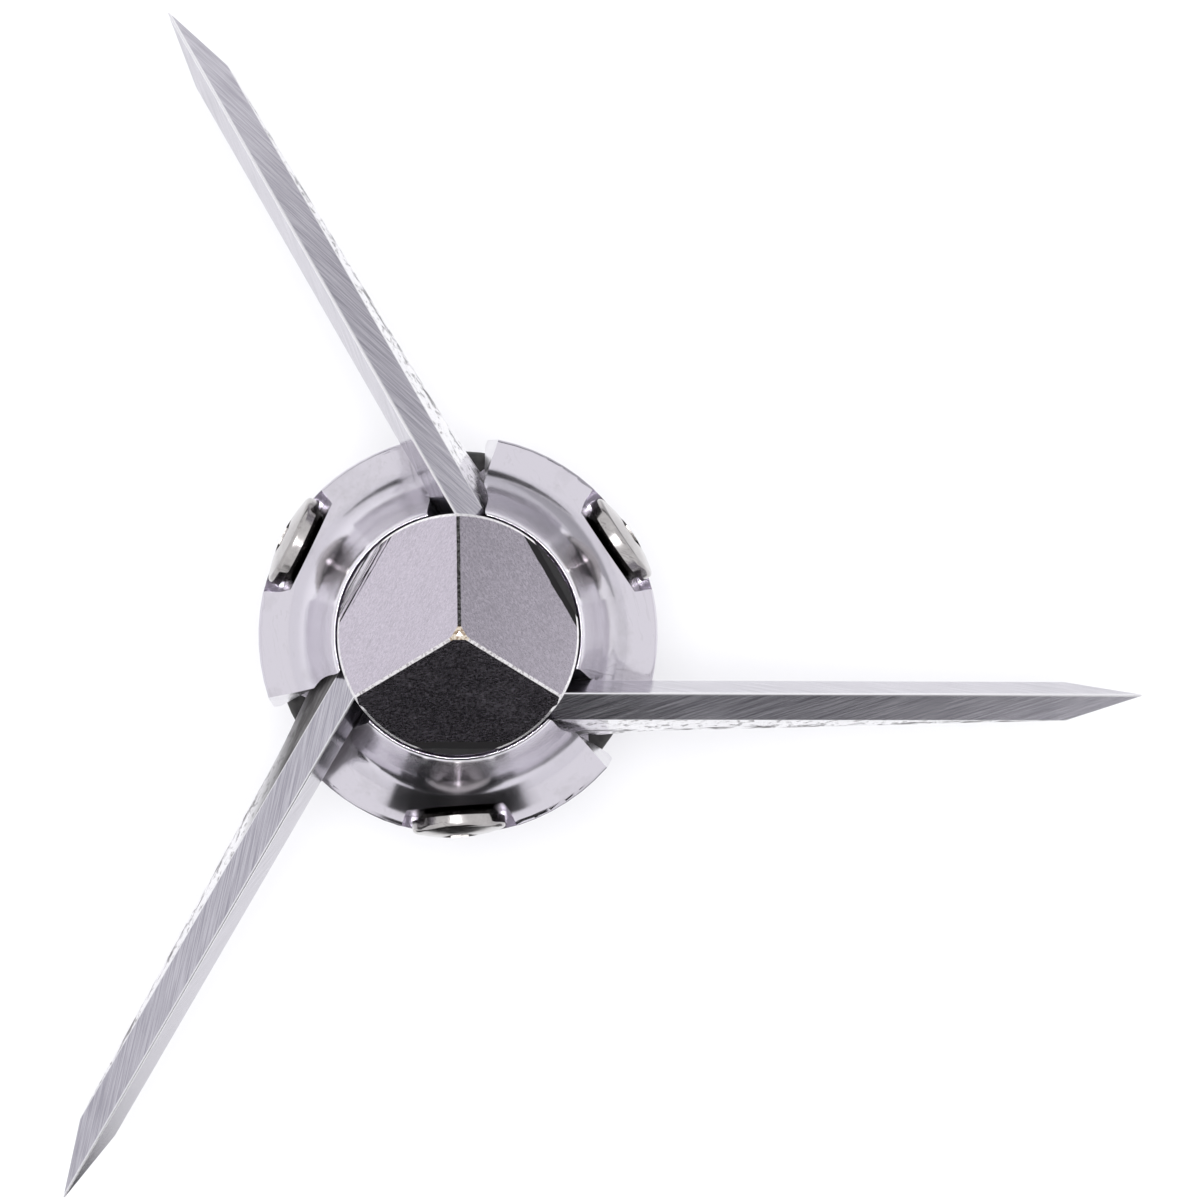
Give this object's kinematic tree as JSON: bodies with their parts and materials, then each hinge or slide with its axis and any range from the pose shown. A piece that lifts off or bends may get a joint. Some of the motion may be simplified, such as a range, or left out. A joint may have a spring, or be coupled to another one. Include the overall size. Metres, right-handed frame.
{
  "type": "expandable archery broadhead",
  "caption": "Expandable archery broadhead: slotted round ferrule with a faceted point, folding ground blades on pivot screws, and a threaded arrow shank.",
  "frame": {"origin": "centre of the shoulder that seats on the arrow, on the axis of the head", "axes": "+Z along the head's axis towards its point, +X along the first deployed blade"},
  "size_m": [0.0249, 0.0274, 0.0443],
  "materials": {
    "ferrule_metal": "polished",
    "tip_steel": "satin, tumbled",
    "blade_steel": "ground",
    "screw_steel": "polished",
    "ring_rubber": "matte"
  },
  "bodies": {
    "head": {"ferrule": "ferrule_metal", "faceted_tip": "tip_steel", "pivot_screw_1": "screw_steel", "pivot_screw_2": "screw_steel", "pivot_screw_3": "screw_steel", "retaining_ring": "ring_rubber"},
    "first_blade": {"blade_1": "blade_steel"},
    "second_blade": {"blade_2": "blade_steel"},
    "third_blade": {"blade_3": "blade_steel"}
  },
  "joints": [
    {"name": "blade_1_pivot", "type": "hinge", "parent": "head", "child": "first_blade", "pos_m": [-0.00014, -0.00197, 0.006], "axis": [-0.0686, 0.9936, -0.0894], "range_deg": [0, 31]},
    {"name": "blade_2_pivot", "type": "hinge", "parent": "head", "child": "second_blade", "pos_m": [0.00178, 0.00086, 0.006], "axis": [-0.8262, -0.5562, -0.0894], "range_deg": [0, 31]},
    {"name": "blade_3_pivot", "type": "hinge", "parent": "head", "child": "third_blade", "pos_m": [-0.00164, 0.00111, 0.006], "axis": [0.8948, -0.4374, -0.0894], "range_deg": [0, 31]}
  ]
}
